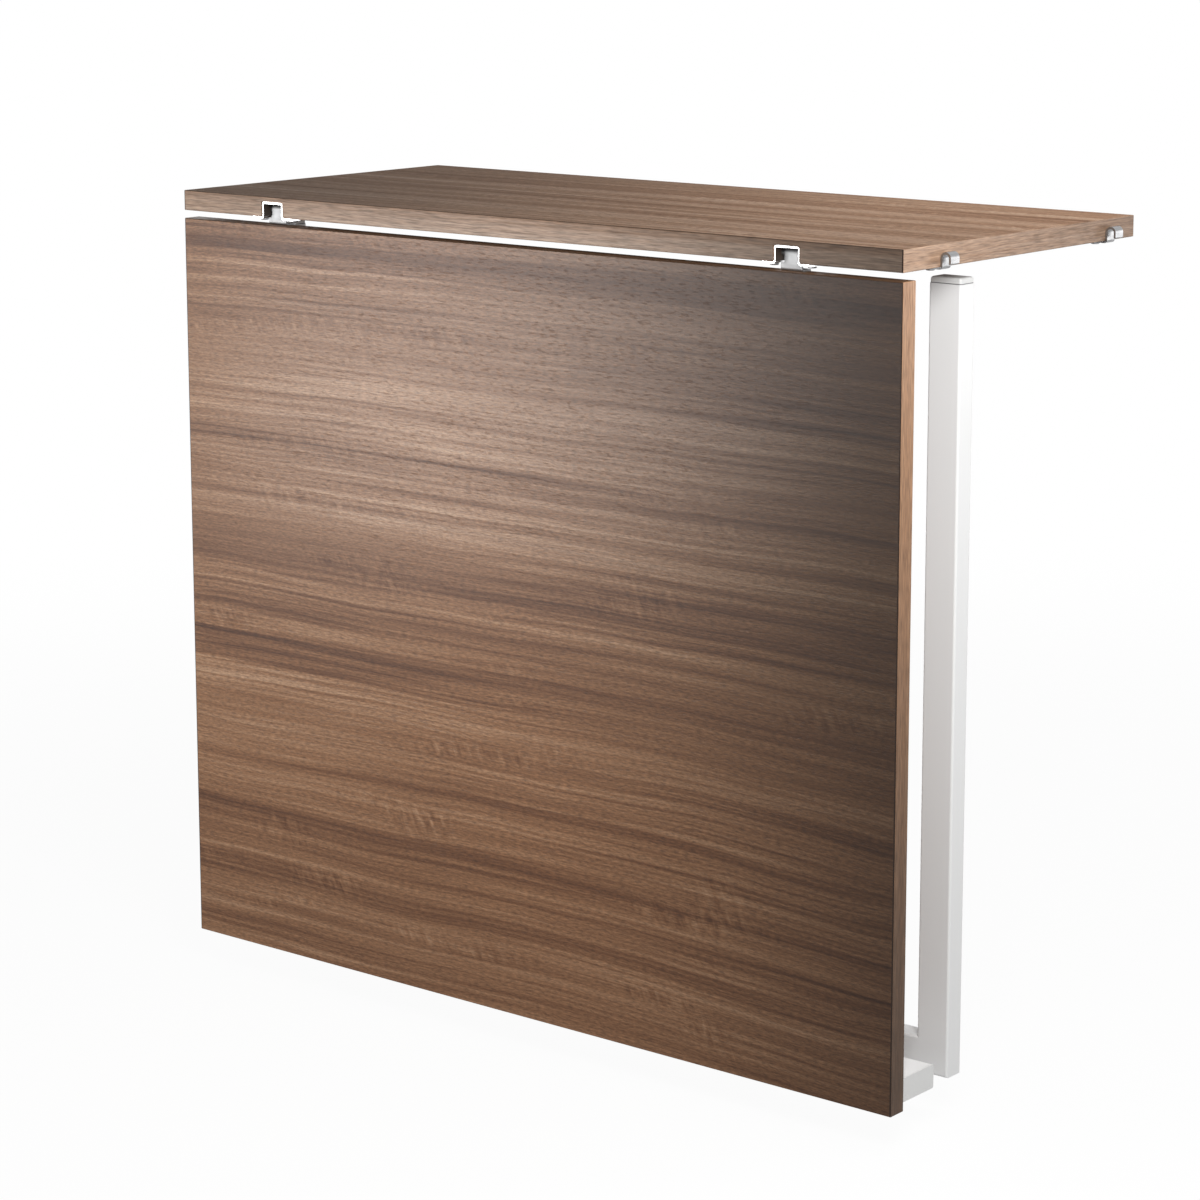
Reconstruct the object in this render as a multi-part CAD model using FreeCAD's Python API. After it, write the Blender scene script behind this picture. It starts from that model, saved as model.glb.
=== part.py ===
"""Wall mounted drop leaf table, in millimetres.

A shelf hangs by four hooks between two side panels, and a leaf with a folding leg frame
hangs from the shelf's front edge. All parts are drawn folded: the leaf hangs down and the
leg frame stands upright behind it.

+X is to the table's right, +Y runs back to the wall and +Z is up. The origin is the
centre of the four hook seats, midway across and midway between the front and rear hooks,
at the height of the panel wire that the hooks rest on.
"""
import FreeCAD, Part
import math
import os

from FreeCAD import Vector

# Boards
board_width = 780.0            # both boards, along X
shelf_depth = 340.0            # front edge to wall edge
shelf_thickness = 18.0
leaf_length = 666.0            # hinged edge to free edge
leaf_thickness = 18.0
arris_radius = 0.8             # softened edges of both boards
arris_share = 0.3              # most that an arris takes of a board's thickness

# Panel hooks, bent from strip
hook_throat = 6.0              # clear width between a hook's two legs
hook_thickness = 1.8
hook_width = 12.0              # along Y
hook_top_drop = 6.0            # shelf top down to the top of a hook
hook_outer_leg = 4.7           # below the centre of the arch
hook_edge_gap = 0.4            # shelf side edge to the inner leg
hook_bend = 1.0                # inside radius where the base turns up
hook_base_length = 38.0        # under the shelf, along X
hook_front_inset = 56.0        # shelf front edge to the middle of a front hook
hook_rear_inset = 40.0         # shelf wall edge to the middle of a rear hook
hook_screw_pitch = 14.0
hook_screw_end = 9.0           # inner end of the base to the nearer screw

# Leaf hinges: a channel let into the shelf, a pin and an arm on the leaf
leaf_hinge_inset = 110.0       # leaf side edge to the middle of a hinge
pin_inset = 11.5               # pin centre below the shelf's top and behind its front
open_gap = 2.0                 # between the two boards when the leaf is up
pin_radius = 2.5
pin_play = 0.05                # radial, in the channel and in the arm
channel_width = 25.0           # outside
channel_cover = 4.8            # wood left above the channel
channel_length = 36.0
channel_setback = 1.0          # behind the shelf's front edge, clear of the turning leaf
channel_thickness = 1.6
channel_bend = 1.0             # inside radius
channel_flange = 11.5          # each side, under the shelf
channel_screw_end = 9.0        # from either end of the channel
notch_play = 0.2               # around the channel, its bends and its pin ends
notch_corner = 6.0             # cutter radius at the back of the notch
notch_mouth_depth = 1.2        # shallow widening under the shelf, for the channel's bends
arm_thickness = 1.6
arm_neck_width = 13.4
arm_plate_width = 20.4
arm_shoulder_drop = 1.0        # shelf underside down to the arm's shoulders
arm_plate_length = 78.0        # down the leaf's back
arm_plate_corner = 5.0
arm_bend = 0.8                 # inside radius
arm_screw_count = 3
arm_screw_end = 14.0           # from either end of the plate
arm_screw_stagger = 4.0        # either side of the plate's middle line

# Beam on the leaf's back, which carries the leg frame
beam_depth = 50.0              # off the leaf
beam_height = 20.0
beam_wall = 1.5
beam_corner = 2.0
beam_end_inset = 5.0           # leaf side edge to the end of the beam
beam_edge_inset = 4.5          # leaf free edge to the beam
beam_cap_lip = 2.0
beam_cap_plug = 14.0
cap_play = 0.1                 # around a plug in its tube
cap_hollow_wall = 1.6
beam_screw_count = 4
beam_screw_end = 45.0          # end of the beam to the nearest screw
beam_access_radius = 4.5       # driver hole in the rear wall of the beam
tube_inner_corner = 0.5        # least radius inside a tube's corners

# Leg frame of rectangular tube, mitred at its two corners
leg_width = 30.0               # along X
crossbar_height = 30.0         # along Z
tube_depth = 20.0              # along Y, legs and crossbar
tube_wall = 1.5
tube_corner = 2.0
leg_inset = 10.0               # leaf side edge to a leg
crossbar_drop = 1.5            # underside of the crossbar below the beam's underside
foot_headroom = 13.5           # folded foot to the shelf's underside
foot_height = 5.3
foot_shy = 0.4                 # foot narrower than the tube, each side
foot_edge_radius = 2.4
foot_edge_share = 0.9          # most that the rounding takes of a foot's height
foot_plug_length = 22.0

# Leg hinges: plates with rolled knuckles on a pin
leg_hinge_inset = 170.0        # leaf side edge to the middle of a hinge
leg_hinge_length = 60.0
leg_knuckle_count = 5
leg_knuckle_radius = 2.5
leg_pin_radius = 1.25
leg_plate_thickness = 1.2
leg_plate_grip = 30.0          # fixed plate on top of the beam
leg_plate_return = 17.0        # moving plate on top of the crossbar
leg_hinge_play = 0.3           # between neighbouring knuckles and plates
leg_stop_gap = 0.5             # beam to crossbar when the legs are out
leg_screw_pitch = 36.0

# Screws
shank_radius = 1.9
head_radius = 3.7
head_height = 1.9
head_round = 0.9
slot_width = 0.9
slot_length = 4.0
slot_depth = 1.0
screw_play = 0.1               # radial, around a shank
board_screw_length = 12.0
tube_screw_length = 6.0

TINY = 1e-6
OVERCUT = 1.0                  # how far a cutter stands past the face that it opens
RIGHT = 1
LEFT = -1
SIDES = {"left": LEFT, "right": RIGHT}
UPWARD = Vector(0, 0, 1)
DOWNWARD = Vector(0, 0, -1)
FORWARD = Vector(0, -1, 0)
BACKWARD = Vector(0, 1, 0)
RIGHTWARD = Vector(1, 0, 0)

# Levels and planes that the pieces share
side = board_width / 2
shelf_top = hook_throat / 2 + hook_thickness + hook_top_drop
shelf_under = shelf_top - shelf_thickness
shelf_front = -(hook_front_inset + shelf_depth - hook_rear_inset) / 2
shelf_back = shelf_front + shelf_depth
front_hook_y = shelf_front + hook_front_inset
rear_hook_y = shelf_back - hook_rear_inset

pin_y = shelf_front + pin_inset
pin_z = shelf_top - pin_inset
leaf_hinge_x = side - leaf_hinge_inset
leaf_top = pin_z - pin_inset - open_gap
leaf_bottom = leaf_top - leaf_length
leaf_front = shelf_front
leaf_back = leaf_front + leaf_thickness

beam_bottom = leaf_bottom + beam_edge_inset
beam_top = beam_bottom + beam_height
beam_back = leaf_back + beam_depth
beam_end = side - beam_end_inset

crossbar_bottom = beam_bottom - crossbar_drop
crossbar_top = crossbar_bottom + crossbar_height
leg_pin_z = beam_top + leg_knuckle_radius
leg_pin_y = beam_back + leg_stop_gap + leg_pin_z - crossbar_bottom
frame_front = leg_pin_y + leg_knuckle_radius + leg_hinge_play
frame_back = frame_front + tube_depth
frame_side = side - leg_inset
leg_hinge_x = side - leg_hinge_inset
foot_top = shelf_under - foot_headroom
leg_top = foot_top - foot_height


def rounded_outline(corners, place):
    """Closed wire through (u, v, radius) corners, with place() turning u, v into a point."""
    starts, middles, ends = [], [], []
    for index, (u, v, radius) in enumerate(corners):
        corner = Vector(u, v, 0)
        before = Vector(*corners[index - 1][:2], 0)
        after = Vector(*corners[(index + 1) % len(corners)][:2], 0)
        back = (before - corner).normalize()
        forth = (after - corner).normalize()
        half_angle = back.getAngle(forth) / 2
        reach = radius / math.tan(half_angle)
        inward = (back + forth).normalize()
        starts.append(corner + back * reach)
        ends.append(corner + forth * reach)
        middles.append(corner + inward * (radius / math.sin(half_angle) - radius))
    edges = []
    for index, (start, middle, end) in enumerate(zip(starts, middles, ends)):
        if start.distanceToPoint(end) > TINY:
            edges.append(Part.Arc(place(start), place(middle), place(end)).toShape())
        following = starts[(index + 1) % len(corners)]
        if end.distanceToPoint(following) > TINY:
            edges.append(Part.LineSegment(place(end), place(following)).toShape())
    return Part.Wire(edges)


def prism(axis, low, high, corners):
    """Solid from low to high along an axis, with its outline on the other two in X, Y, Z order."""
    places = {
        "x": lambda p: Vector(low, p.x, p.y),
        "y": lambda p: Vector(p.x, low, p.y),
        "z": lambda p: Vector(p.x, p.y, low),
    }
    directions = {"x": RIGHTWARD, "y": BACKWARD, "z": UPWARD}
    face = Part.Face(rounded_outline(corners, places[axis]))
    return face.extrude(directions[axis] * (high - low))


def rectangle(u_low, u_high, v_low, v_high, radius=0.0):
    """Four corners with one radius."""
    return [
        (u_low, v_low, radius),
        (u_high, v_low, radius),
        (u_high, v_high, radius),
        (u_low, v_high, radius),
    ]


def block(x_low, x_high, y_low, y_high, z_low, z_high):
    """Box between two corners."""
    return prism("z", z_low, z_high, rectangle(x_low, x_high, y_low, y_high))


def rod(radius, start, direction, length):
    """Cylinder from a point along a direction."""
    return Part.makeCylinder(radius, length, start, direction)


def mirrored(shape):
    """The same piece on the other side of the table."""
    return shape.mirror(Vector(0, 0, 0), RIGHTWARD)


def on_side(hand, shape):
    """A piece drawn on the right, put on the side that it is for."""
    return shape if hand == RIGHT else mirrored(shape)


def evenly(low, high, count):
    """Places from low to high with equal steps."""
    step = (high - low) / (count - 1)
    return [low + step * index for index in range(count)]


def softened_board(thickness, x_side, y_low, y_high, z_low, z_high):
    """Board with all its arrises rounded, no more than its thickness allows."""
    radius = min(arris_radius, thickness * arris_share)
    board = block(-x_side, x_side, y_low, y_high, z_low, z_high)
    return board.makeFillet(radius, board.Edges)


def screw(seat, direction, length):
    """Pan head screw whose head sits on the seat and whose shank runs along direction."""
    head = rod(head_radius, Vector(0, 0, -head_height), UPWARD, head_height)
    rim = [edge for edge in head.Edges if edge.Closed and edge.BoundBox.ZMax < -head_height + TINY]
    head = head.makeFillet(head_round, rim)
    for long_way, short_way in ((slot_length, slot_width), (slot_width, slot_length)):
        x_half = long_way / 2
        y_half = short_way / 2
        slot_floor = slot_depth - head_height
        head = head.cut(block(-x_half, x_half, -y_half, y_half, -head_height - OVERCUT, slot_floor))
    whole = head.fuse(rod(shank_radius, Vector(0, 0, 0), UPWARD, length)).removeSplitter()
    whole.Placement = FreeCAD.Placement(seat, FreeCAD.Rotation(UPWARD, direction))
    return whole


def pilot(seat, direction, length):
    """Hole for a screw's shank, a little longer than the shank."""
    start = seat - direction * OVERCUT
    return rod(shank_radius + screw_play, start, direction, length + 2 * OVERCUT)


# Where the screws sit: each place is the middle of a head's underside


def hook_screw_seats():
    """Two screws in the base of each hook, driven up into the shelf."""
    inner = side + hook_edge_gap + hook_thickness - hook_base_length
    return [
        Vector(hand * (inner + hook_screw_end + offset), y, shelf_under - hook_thickness)
        for hand in SIDES.values()
        for y in (front_hook_y, rear_hook_y)
        for offset in (0, hook_screw_pitch)
    ]


def channel_screw_seats():
    """Four screws in the flanges of each channel, driven up into the shelf."""
    front = shelf_front + channel_setback + channel_screw_end
    rear = shelf_front + channel_setback + channel_length - channel_screw_end
    reach = channel_width / 2 + channel_flange / 2
    return [
        Vector(hand * leaf_hinge_x + offset, y, shelf_under - channel_thickness)
        for hand in SIDES.values()
        for offset in (-reach, reach)
        for y in (front, rear)
    ]


def arm_screw_seats():
    """Staggered screws down each arm's plate, driven forward into the leaf."""
    high = leaf_top - arm_screw_end
    low = leaf_top - arm_plate_length + arm_screw_end
    return [
        Vector(hand * (leaf_hinge_x + (-1) ** index * arm_screw_stagger), leaf_back + arm_thickness, z)
        for hand in SIDES.values()
        for index, z in enumerate(evenly(low, high, arm_screw_count))
    ]


def beam_screw_seats():
    """Screws inside the beam, against its front wall, driven forward into the leaf."""
    middle = (beam_bottom + beam_top) / 2
    reach = beam_end - beam_screw_end
    return [
        Vector(x, leaf_back + beam_wall, middle)
        for x in evenly(-reach, reach, beam_screw_count)
    ]


def fixed_plate_screw_seats():
    """Two screws in each fixed hinge plate, driven down into the beam."""
    y = beam_back - leg_plate_grip / 2
    return [
        Vector(hand * leg_hinge_x + offset, y, beam_top + leg_plate_thickness)
        for hand in SIDES.values()
        for offset in (-leg_screw_pitch / 2, leg_screw_pitch / 2)
    ]


def moving_plate_screw_seats():
    """Two screws in each moving hinge plate, driven down into the crossbar."""
    y = frame_front + tube_depth / 2
    return [
        Vector(hand * leg_hinge_x + offset, y, crossbar_top + leg_plate_thickness)
        for hand in SIDES.values()
        for offset in (-leg_screw_pitch / 2, leg_screw_pitch / 2)
    ]


def screw_group(seats, direction, length):
    """Screws of one kind, as separate solids in one piece."""
    return Part.makeCompound([screw(seat, direction, length) for seat in seats])


def drilled(shape, seats, direction, length):
    """The shape with a pilot hole under every seat."""
    return shape.cut([pilot(seat, direction, length) for seat in seats])


# Boards

def hinge_notch(x):
    """Cutter for a channel's notch, open at the front and wider at its mouth for the bends."""
    half = channel_width / 2 + notch_play
    rear = shelf_front + channel_setback + channel_length + notch_corner
    top = shelf_top - channel_cover + notch_play
    outline = [
        (x - half, shelf_front - OVERCUT, 0),
        (x + half, shelf_front - OVERCUT, 0),
        (x + half, rear, notch_corner),
        (x - half, rear, notch_corner),
    ]
    mouth_half = half + channel_bend
    mouth_top = shelf_under + notch_mouth_depth
    mouth = block(
        x - mouth_half, x + mouth_half,
        shelf_front - OVERCUT, rear - notch_corner,
        shelf_under - OVERCUT, mouth_top,
    )
    return prism("z", shelf_under - OVERCUT, top, outline).fuse(mouth)


def shelf_board():
    """Shelf with a notch for each leaf hinge in its front edge."""
    board = softened_board(shelf_thickness, side, shelf_front, shelf_back, shelf_under, shelf_top)
    board = board.cut([hinge_notch(hand * leaf_hinge_x) for hand in SIDES.values()])
    board = drilled(board, hook_screw_seats(), UPWARD, board_screw_length)
    return drilled(board, channel_screw_seats(), UPWARD, board_screw_length)


def leaf_board():
    """Leaf, hanging with its show face forward."""
    board = softened_board(leaf_thickness, side, leaf_front, leaf_back, leaf_bottom, leaf_top)
    board = drilled(board, arm_screw_seats(), FORWARD, board_screw_length)
    return drilled(board, beam_screw_seats(), FORWARD, board_screw_length)


# Panel hooks

def hook(y):
    """Right-hand hook: base under the shelf, inner leg, arch over the wire and outer leg."""
    inner = side + hook_edge_gap
    throat_in = inner + hook_thickness
    throat_out = throat_in + hook_throat
    outer = throat_out + hook_thickness
    base_in = throat_in - hook_base_length
    base_low = shelf_under - hook_thickness
    arch_radius = hook_throat / 2
    arch_top = arch_radius + hook_thickness
    outline = [
        (base_in, base_low, 0),
        (throat_in, base_low, hook_bend + hook_thickness),
        (throat_in, arch_radius, arch_radius),
        (throat_out, arch_radius, arch_radius),
        (throat_out, -hook_outer_leg, 0),
        (outer, -hook_outer_leg, hook_thickness / 2),
        (outer, arch_top, arch_top),
        (inner, arch_top, arch_top),
        (inner, shelf_under, hook_bend),
        (base_in, shelf_under, 0),
    ]
    body = prism("y", y - hook_width / 2, y + hook_width / 2, outline)
    seats = [seat for seat in hook_screw_seats() if seat.x > 0 and abs(seat.y - y) < TINY]
    return drilled(body, seats, UPWARD, hook_thickness)


# Leaf hinges

def hinge_channel(hand):
    """Bent channel in the shelf's notch, with flanges under the shelf and holes for the pin."""
    x = leaf_hinge_x
    half = channel_width / 2
    reach = half + channel_flange
    top = shelf_top - channel_cover
    low = shelf_under - channel_thickness
    wall = channel_thickness
    sharp = channel_bend
    blunt = channel_bend + channel_thickness
    outline = [
        (x - reach, low, 0),
        (x - half + wall, low, blunt),
        (x - half + wall, top - wall, sharp),
        (x + half - wall, top - wall, sharp),
        (x + half - wall, low, blunt),
        (x + reach, low, 0),
        (x + reach, shelf_under, 0),
        (x + half, shelf_under, sharp),
        (x + half, top, blunt),
        (x - half, top, blunt),
        (x - half, shelf_under, sharp),
        (x - reach, shelf_under, 0),
    ]
    front = shelf_front + channel_setback
    body = prism("y", front, front + channel_length, outline)
    bore_start = Vector(x - reach, pin_y, pin_z)
    body = body.cut(rod(pin_radius + pin_play, bore_start, RIGHTWARD, 2 * reach))
    seats = [seat for seat in channel_screw_seats() if seat.x > 0]
    return on_side(hand, drilled(body, seats, UPWARD, channel_thickness))


def hinge_pin(hand):
    """Pin across a channel, flush with its walls."""
    start = Vector(leaf_hinge_x - channel_width / 2, pin_y, pin_z)
    return on_side(hand, rod(pin_radius, start, RIGHTWARD, channel_width))


def hinge_arm(hand):
    """Strip rolled round the pin, down in front of it, over the leaf's edge and down its back."""
    x = leaf_hinge_x
    half = arm_plate_width / 2
    eye_bore = pin_radius + pin_play
    eye_radius = eye_bore + arm_thickness
    neck_front = pin_y - eye_radius
    plate_back = leaf_back + arm_thickness
    sharp = arm_bend
    blunt = arm_bend + arm_thickness
    low = leaf_top - arm_plate_length
    outline = [
        (neck_front, pin_z, 0),
        (neck_front, leaf_top, blunt),
        (leaf_back, leaf_top, 0),
        (leaf_back, low, 0),
        (plate_back, low, 0),
        (plate_back, leaf_top + arm_thickness, arm_thickness),
        (neck_front + arm_thickness, leaf_top + arm_thickness, sharp),
        (neck_front + arm_thickness, pin_z, 0),
    ]
    strip = prism("x", x - half, x + half, outline)
    eye_start = Vector(x - half, pin_y, pin_z)
    strip = strip.fuse(rod(eye_radius, eye_start, RIGHTWARD, arm_plate_width)).removeSplitter()
    shoulder = shelf_under - arm_shoulder_drop
    trim = [
        block(low_x, high_x, neck_front - OVERCUT, pin_y + eye_radius + OVERCUT, shoulder, shelf_top)
        for low_x, high_x in (
            (x - half - OVERCUT, x - arm_neck_width / 2),
            (x + arm_neck_width / 2, x + half + OVERCUT),
        )
    ]
    strip = strip.cut(trim + [rod(eye_bore, eye_start, RIGHTWARD, arm_plate_width)])
    seats = [seat for seat in arm_screw_seats() if seat.x > 0]
    strip = drilled(strip, seats, FORWARD, arm_thickness)
    foot_corners = [
        edge for edge in strip.Edges
        if edge.BoundBox.ZMax < low + TINY and edge.BoundBox.YLength > arm_thickness - TINY
        and edge.BoundBox.XLength < TINY
    ]
    return on_side(hand, strip.makeFillet(arm_plate_corner, foot_corners))


# Beam and leg frame

def rectangular_tube(axis, low, high, spans, wall, corner):
    """Rectangular tube along an axis, with rounded corners outside and in."""
    u_low, u_high, v_low, v_high = spans
    outer = prism(axis, low, high, rectangle(u_low, u_high, v_low, v_high, corner))
    inner_spans = (u_low + wall, u_high - wall, v_low + wall, v_high - wall)
    inner = prism(axis, low, high, rectangle(*inner_spans, max(corner - wall, tube_inner_corner)))
    return outer.cut(inner)


def leg_beam():
    """Beam along the leaf's back, with driver holes in its rear wall."""
    spans = (leaf_back, beam_back, beam_bottom, beam_top)
    end = beam_end - beam_cap_lip
    tube = rectangular_tube("x", -end, end, spans, beam_wall, beam_corner)
    tube = drilled(tube, beam_screw_seats(), FORWARD, beam_wall)
    inside_rear = beam_back - beam_wall - OVERCUT
    access = [
        rod(beam_access_radius, Vector(seat.x, inside_rear, seat.z), BACKWARD, beam_wall + 2 * OVERCUT)
        for seat in beam_screw_seats()
    ]
    return drilled(tube.cut(access), fixed_plate_screw_seats(), DOWNWARD, leg_plate_thickness + beam_wall)


def hollow_plug(axis, low, high, spans):
    """Thin-walled plug from low to high, open at its low end."""
    u_low, u_high, v_low, v_high = spans
    wall = cap_hollow_wall
    solid = prism(axis, low, high, rectangle(*spans, wall))
    hollow = rectangle(u_low + wall, u_high - wall, v_low + wall, v_high - wall)
    return solid.cut(prism(axis, low - OVERCUT, high, hollow))


def beam_cap(hand):
    """End cap of the beam: a lip flush with the tube and a hollow plug inside it."""
    spans = (leaf_back, beam_back, beam_bottom, beam_top)
    lip_start = beam_end - beam_cap_lip
    lip = prism("x", lip_start, beam_end, rectangle(*spans, beam_corner))
    inset = beam_wall + cap_play
    plug_spans = (leaf_back + inset, beam_back - inset, beam_bottom + inset, beam_top - inset)
    plug = hollow_plug("x", lip_start - beam_cap_plug, lip_start, plug_spans)
    return on_side(hand, lip.fuse(plug).removeSplitter())


def mitre_cutter(keep_leg):
    """Wedge on the far side of the right-hand mitre from the piece that is kept."""
    inner = frame_side - leg_width
    slope = crossbar_height / leg_width
    reach = leg_width
    upper = (inner - reach, crossbar_top + reach * slope, 0)
    lower = (frame_side + reach, crossbar_bottom - reach * slope, 0)
    if keep_leg:
        apex = (inner - reach, crossbar_bottom - reach * slope, 0)
    else:
        apex = (frame_side + reach, crossbar_top + reach * slope, 0)
    return prism("y", frame_front - OVERCUT, frame_back + OVERCUT, [upper, lower, apex])


def leg(hand):
    """Leg tube, mitred at its lower end and open at the foot."""
    spans = (frame_side - leg_width, frame_side, frame_front, frame_back)
    tube = rectangular_tube("z", crossbar_bottom, leg_top, spans, tube_wall, tube_corner)
    return on_side(hand, tube.cut(mitre_cutter(True)))


def leg_crossbar():
    """Crossbar tube, mitred at both ends."""
    spans = (frame_front, frame_back, crossbar_bottom, crossbar_top)
    tube = rectangular_tube("x", -frame_side, frame_side, spans, tube_wall, tube_corner)
    cutter = mitre_cutter(False)
    tube = tube.cut([cutter, mirrored(cutter)])
    return drilled(tube, moving_plate_screw_seats(), DOWNWARD, leg_plate_thickness + tube_wall)


def foot_cap(hand):
    """Foot: a rounded pad just inside the tube's outline and a hollow plug."""
    pad_spans = (
        frame_side - leg_width + foot_shy,
        frame_side - foot_shy,
        frame_front + foot_shy,
        frame_back - foot_shy,
    )
    pad = prism("z", leg_top, foot_top, rectangle(*pad_spans, tube_corner))
    rim = [edge for edge in pad.Edges if edge.BoundBox.ZMin > foot_top - TINY]
    pad = pad.makeFillet(min(foot_edge_radius, foot_height * foot_edge_share), rim)
    inset = tube_wall + cap_play
    plug_spans = (
        frame_side - leg_width + inset,
        frame_side - inset,
        frame_front + inset,
        frame_back - inset,
    )
    plug = hollow_plug("z", leg_top - foot_plug_length, leg_top, plug_spans)
    return on_side(hand, pad.fuse(plug).removeSplitter())


# Leg hinges

def knuckle_spans():
    """Low and high X of each knuckle of the right-hand leg hinge."""
    start = leg_hinge_x - leg_hinge_length / 2
    pitch = leg_hinge_length / leg_knuckle_count
    gap = leg_hinge_play / 2
    return [
        (start + pitch * index + gap, start + pitch * (index + 1) - gap)
        for index in range(leg_knuckle_count)
    ]


def knuckled_plate(plate, own, others):
    """A hinge plate with its own knuckles rolled on and room left for the other plate's."""
    bore = leg_pin_radius + pin_play
    room = leg_knuckle_radius + leg_hinge_play
    for low, high in own:
        start = Vector(low, leg_pin_y, leg_pin_z)
        plate = plate.fuse(rod(leg_knuckle_radius, start, RIGHTWARD, high - low))
    for low, high in others:
        start = Vector(low - leg_hinge_play, leg_pin_y, leg_pin_z)
        plate = plate.cut(rod(room, start, RIGHTWARD, high - low + 2 * leg_hinge_play))
    start = Vector(leg_hinge_x - leg_hinge_length, leg_pin_y, leg_pin_z)
    return plate.cut(rod(bore, start, RIGHTWARD, 2 * leg_hinge_length)).removeSplitter()


def leg_hinge_fixed(hand):
    """Plate on top of the beam that reaches back to the pin."""
    low_x = leg_hinge_x - leg_hinge_length / 2
    high_x = leg_hinge_x + leg_hinge_length / 2
    front = beam_back - leg_plate_grip
    plate = block(low_x, high_x, front, leg_pin_y, beam_top, beam_top + leg_plate_thickness)
    spans = knuckle_spans()
    plate = knuckled_plate(plate, spans[0::2], spans[1::2])
    seats = [seat for seat in fixed_plate_screw_seats() if seat.x > 0]
    return on_side(hand, drilled(plate, seats, DOWNWARD, leg_plate_thickness))


def leg_hinge_moving(hand):
    """Plate up the crossbar's front and back over its top."""
    low_x = leg_hinge_x - leg_hinge_length / 2
    high_x = leg_hinge_x + leg_hinge_length / 2
    front = frame_front - leg_plate_thickness
    top = crossbar_top + leg_plate_thickness
    outline = [
        (front, leg_pin_z, 0),
        (frame_front, leg_pin_z, 0),
        (frame_front, crossbar_top, 0),
        (frame_front + leg_plate_return, crossbar_top, 0),
        (frame_front + leg_plate_return, top, 0),
        (front, top, leg_plate_thickness),
    ]
    plate = prism("x", low_x, high_x, outline)
    spans = knuckle_spans()
    plate = knuckled_plate(plate, spans[1::2], spans[0::2])
    seats = [seat for seat in moving_plate_screw_seats() if seat.x > 0]
    return on_side(hand, drilled(plate, seats, DOWNWARD, leg_plate_thickness))


def leg_hinge_pin(hand):
    """Pin through all the knuckles of one leg hinge."""
    start = Vector(leg_hinge_x - leg_hinge_length / 2, leg_pin_y, leg_pin_z)
    return on_side(hand, rod(leg_pin_radius, start, RIGHTWARD, leg_hinge_length))


def all_parts():
    """Every piece by name."""
    parts = {
        "shelf_board": shelf_board(),
        "leaf_board": leaf_board(),
        "leg_beam": leg_beam(),
        "leg_crossbar": leg_crossbar(),
    }
    for name, hand in SIDES.items():
        parts["hook_front_" + name] = on_side(hand, hook(front_hook_y))
        parts["hook_rear_" + name] = on_side(hand, hook(rear_hook_y))
        parts["hinge_channel_" + name] = hinge_channel(hand)
        parts["hinge_pin_" + name] = hinge_pin(hand)
        parts["hinge_arm_" + name] = hinge_arm(hand)
        parts["beam_cap_" + name] = beam_cap(hand)
        parts["leg_" + name] = leg(hand)
        parts["foot_cap_" + name] = foot_cap(hand)
        parts["leg_hinge_fixed_" + name] = leg_hinge_fixed(hand)
        parts["leg_hinge_moving_" + name] = leg_hinge_moving(hand)
        parts["leg_hinge_pin_" + name] = leg_hinge_pin(hand)
    parts["hook_screws"] = screw_group(hook_screw_seats(), UPWARD, board_screw_length)
    parts["channel_screws"] = screw_group(channel_screw_seats(), UPWARD, board_screw_length)
    parts["arm_screws"] = screw_group(arm_screw_seats(), FORWARD, board_screw_length)
    parts["beam_screws"] = screw_group(beam_screw_seats(), FORWARD, board_screw_length)
    parts["fixed_plate_screws"] = screw_group(fixed_plate_screw_seats(), DOWNWARD, tube_screw_length)
    parts["moving_plate_screws"] = screw_group(moving_plate_screw_seats(), DOWNWARD, tube_screw_length)
    return parts


def main():
    """Write one STEP file for each piece."""
    os.makedirs("parts", exist_ok=True)
    for name, shape in all_parts().items():
        shape.exportStep(os.path.join("parts", name + ".step"))
        print(name, len(shape.Solids), "solids", round(shape.Volume), "mm3")


main()
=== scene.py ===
"""Finishes, studio and camera for a wall mounted drop leaf table.

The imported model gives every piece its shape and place, in metres. This script gives each
piece its finish: walnut veneer with edge lippings on the two boards, satin white powder
coat on the leg frame and its beam, bright chrome on the hinge channels, zinc plate on the
hooks, arms, hinges and screws, and white moulded plastic on the caps.
"""
import logging
import math
from dataclasses import dataclass
from enum import Enum
from typing import Iterable, Mapping, Sequence, Union

import bpy
from bpy.types import Material, Node, NodeSocket, NodeTree, Object
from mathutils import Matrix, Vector


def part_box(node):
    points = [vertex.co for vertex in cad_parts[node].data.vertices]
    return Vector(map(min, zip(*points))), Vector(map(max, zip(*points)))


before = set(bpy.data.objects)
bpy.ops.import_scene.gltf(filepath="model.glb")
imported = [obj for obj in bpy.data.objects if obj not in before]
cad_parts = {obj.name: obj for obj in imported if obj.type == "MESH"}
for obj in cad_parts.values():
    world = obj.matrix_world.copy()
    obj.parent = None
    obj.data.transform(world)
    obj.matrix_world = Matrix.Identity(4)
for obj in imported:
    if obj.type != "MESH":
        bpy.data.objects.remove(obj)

log = logging.getLogger("drop_leaf_table")

Colour = tuple[float, float, float, float]
Triple = tuple[float, float, float]
Feed = Union[NodeSocket, float, Sequence[float]]

HALF = 0.5
VECTOR = "NodeSocketVector"
FLOAT = "NodeSocketFloat"
# The numbers of a Mix node's two inputs and its output, by its kind of data.
MIX_SOCKETS = {"FLOAT": (2, 3, 0), "VECTOR": (4, 5, 1), "RGBA": (6, 7, 2)}


def opaque(red: float, green: float, blue: float) -> Colour:
    """A linear colour with full alpha."""
    return (red, green, blue, 1.0)


WHITE = opaque(1.0, 1.0, 1.0)


class Side(Enum):
    """Left and right of the table, with the ending of a piece's name."""

    LEFT = "left"
    RIGHT = "right"


class GrainFace(Enum):
    """Which way a board's show face looks at rest, as its axes along, across and through."""

    LEVEL = (0, 1, 2)
    UPRIGHT = (0, 2, 1)


# Node graphs


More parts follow.
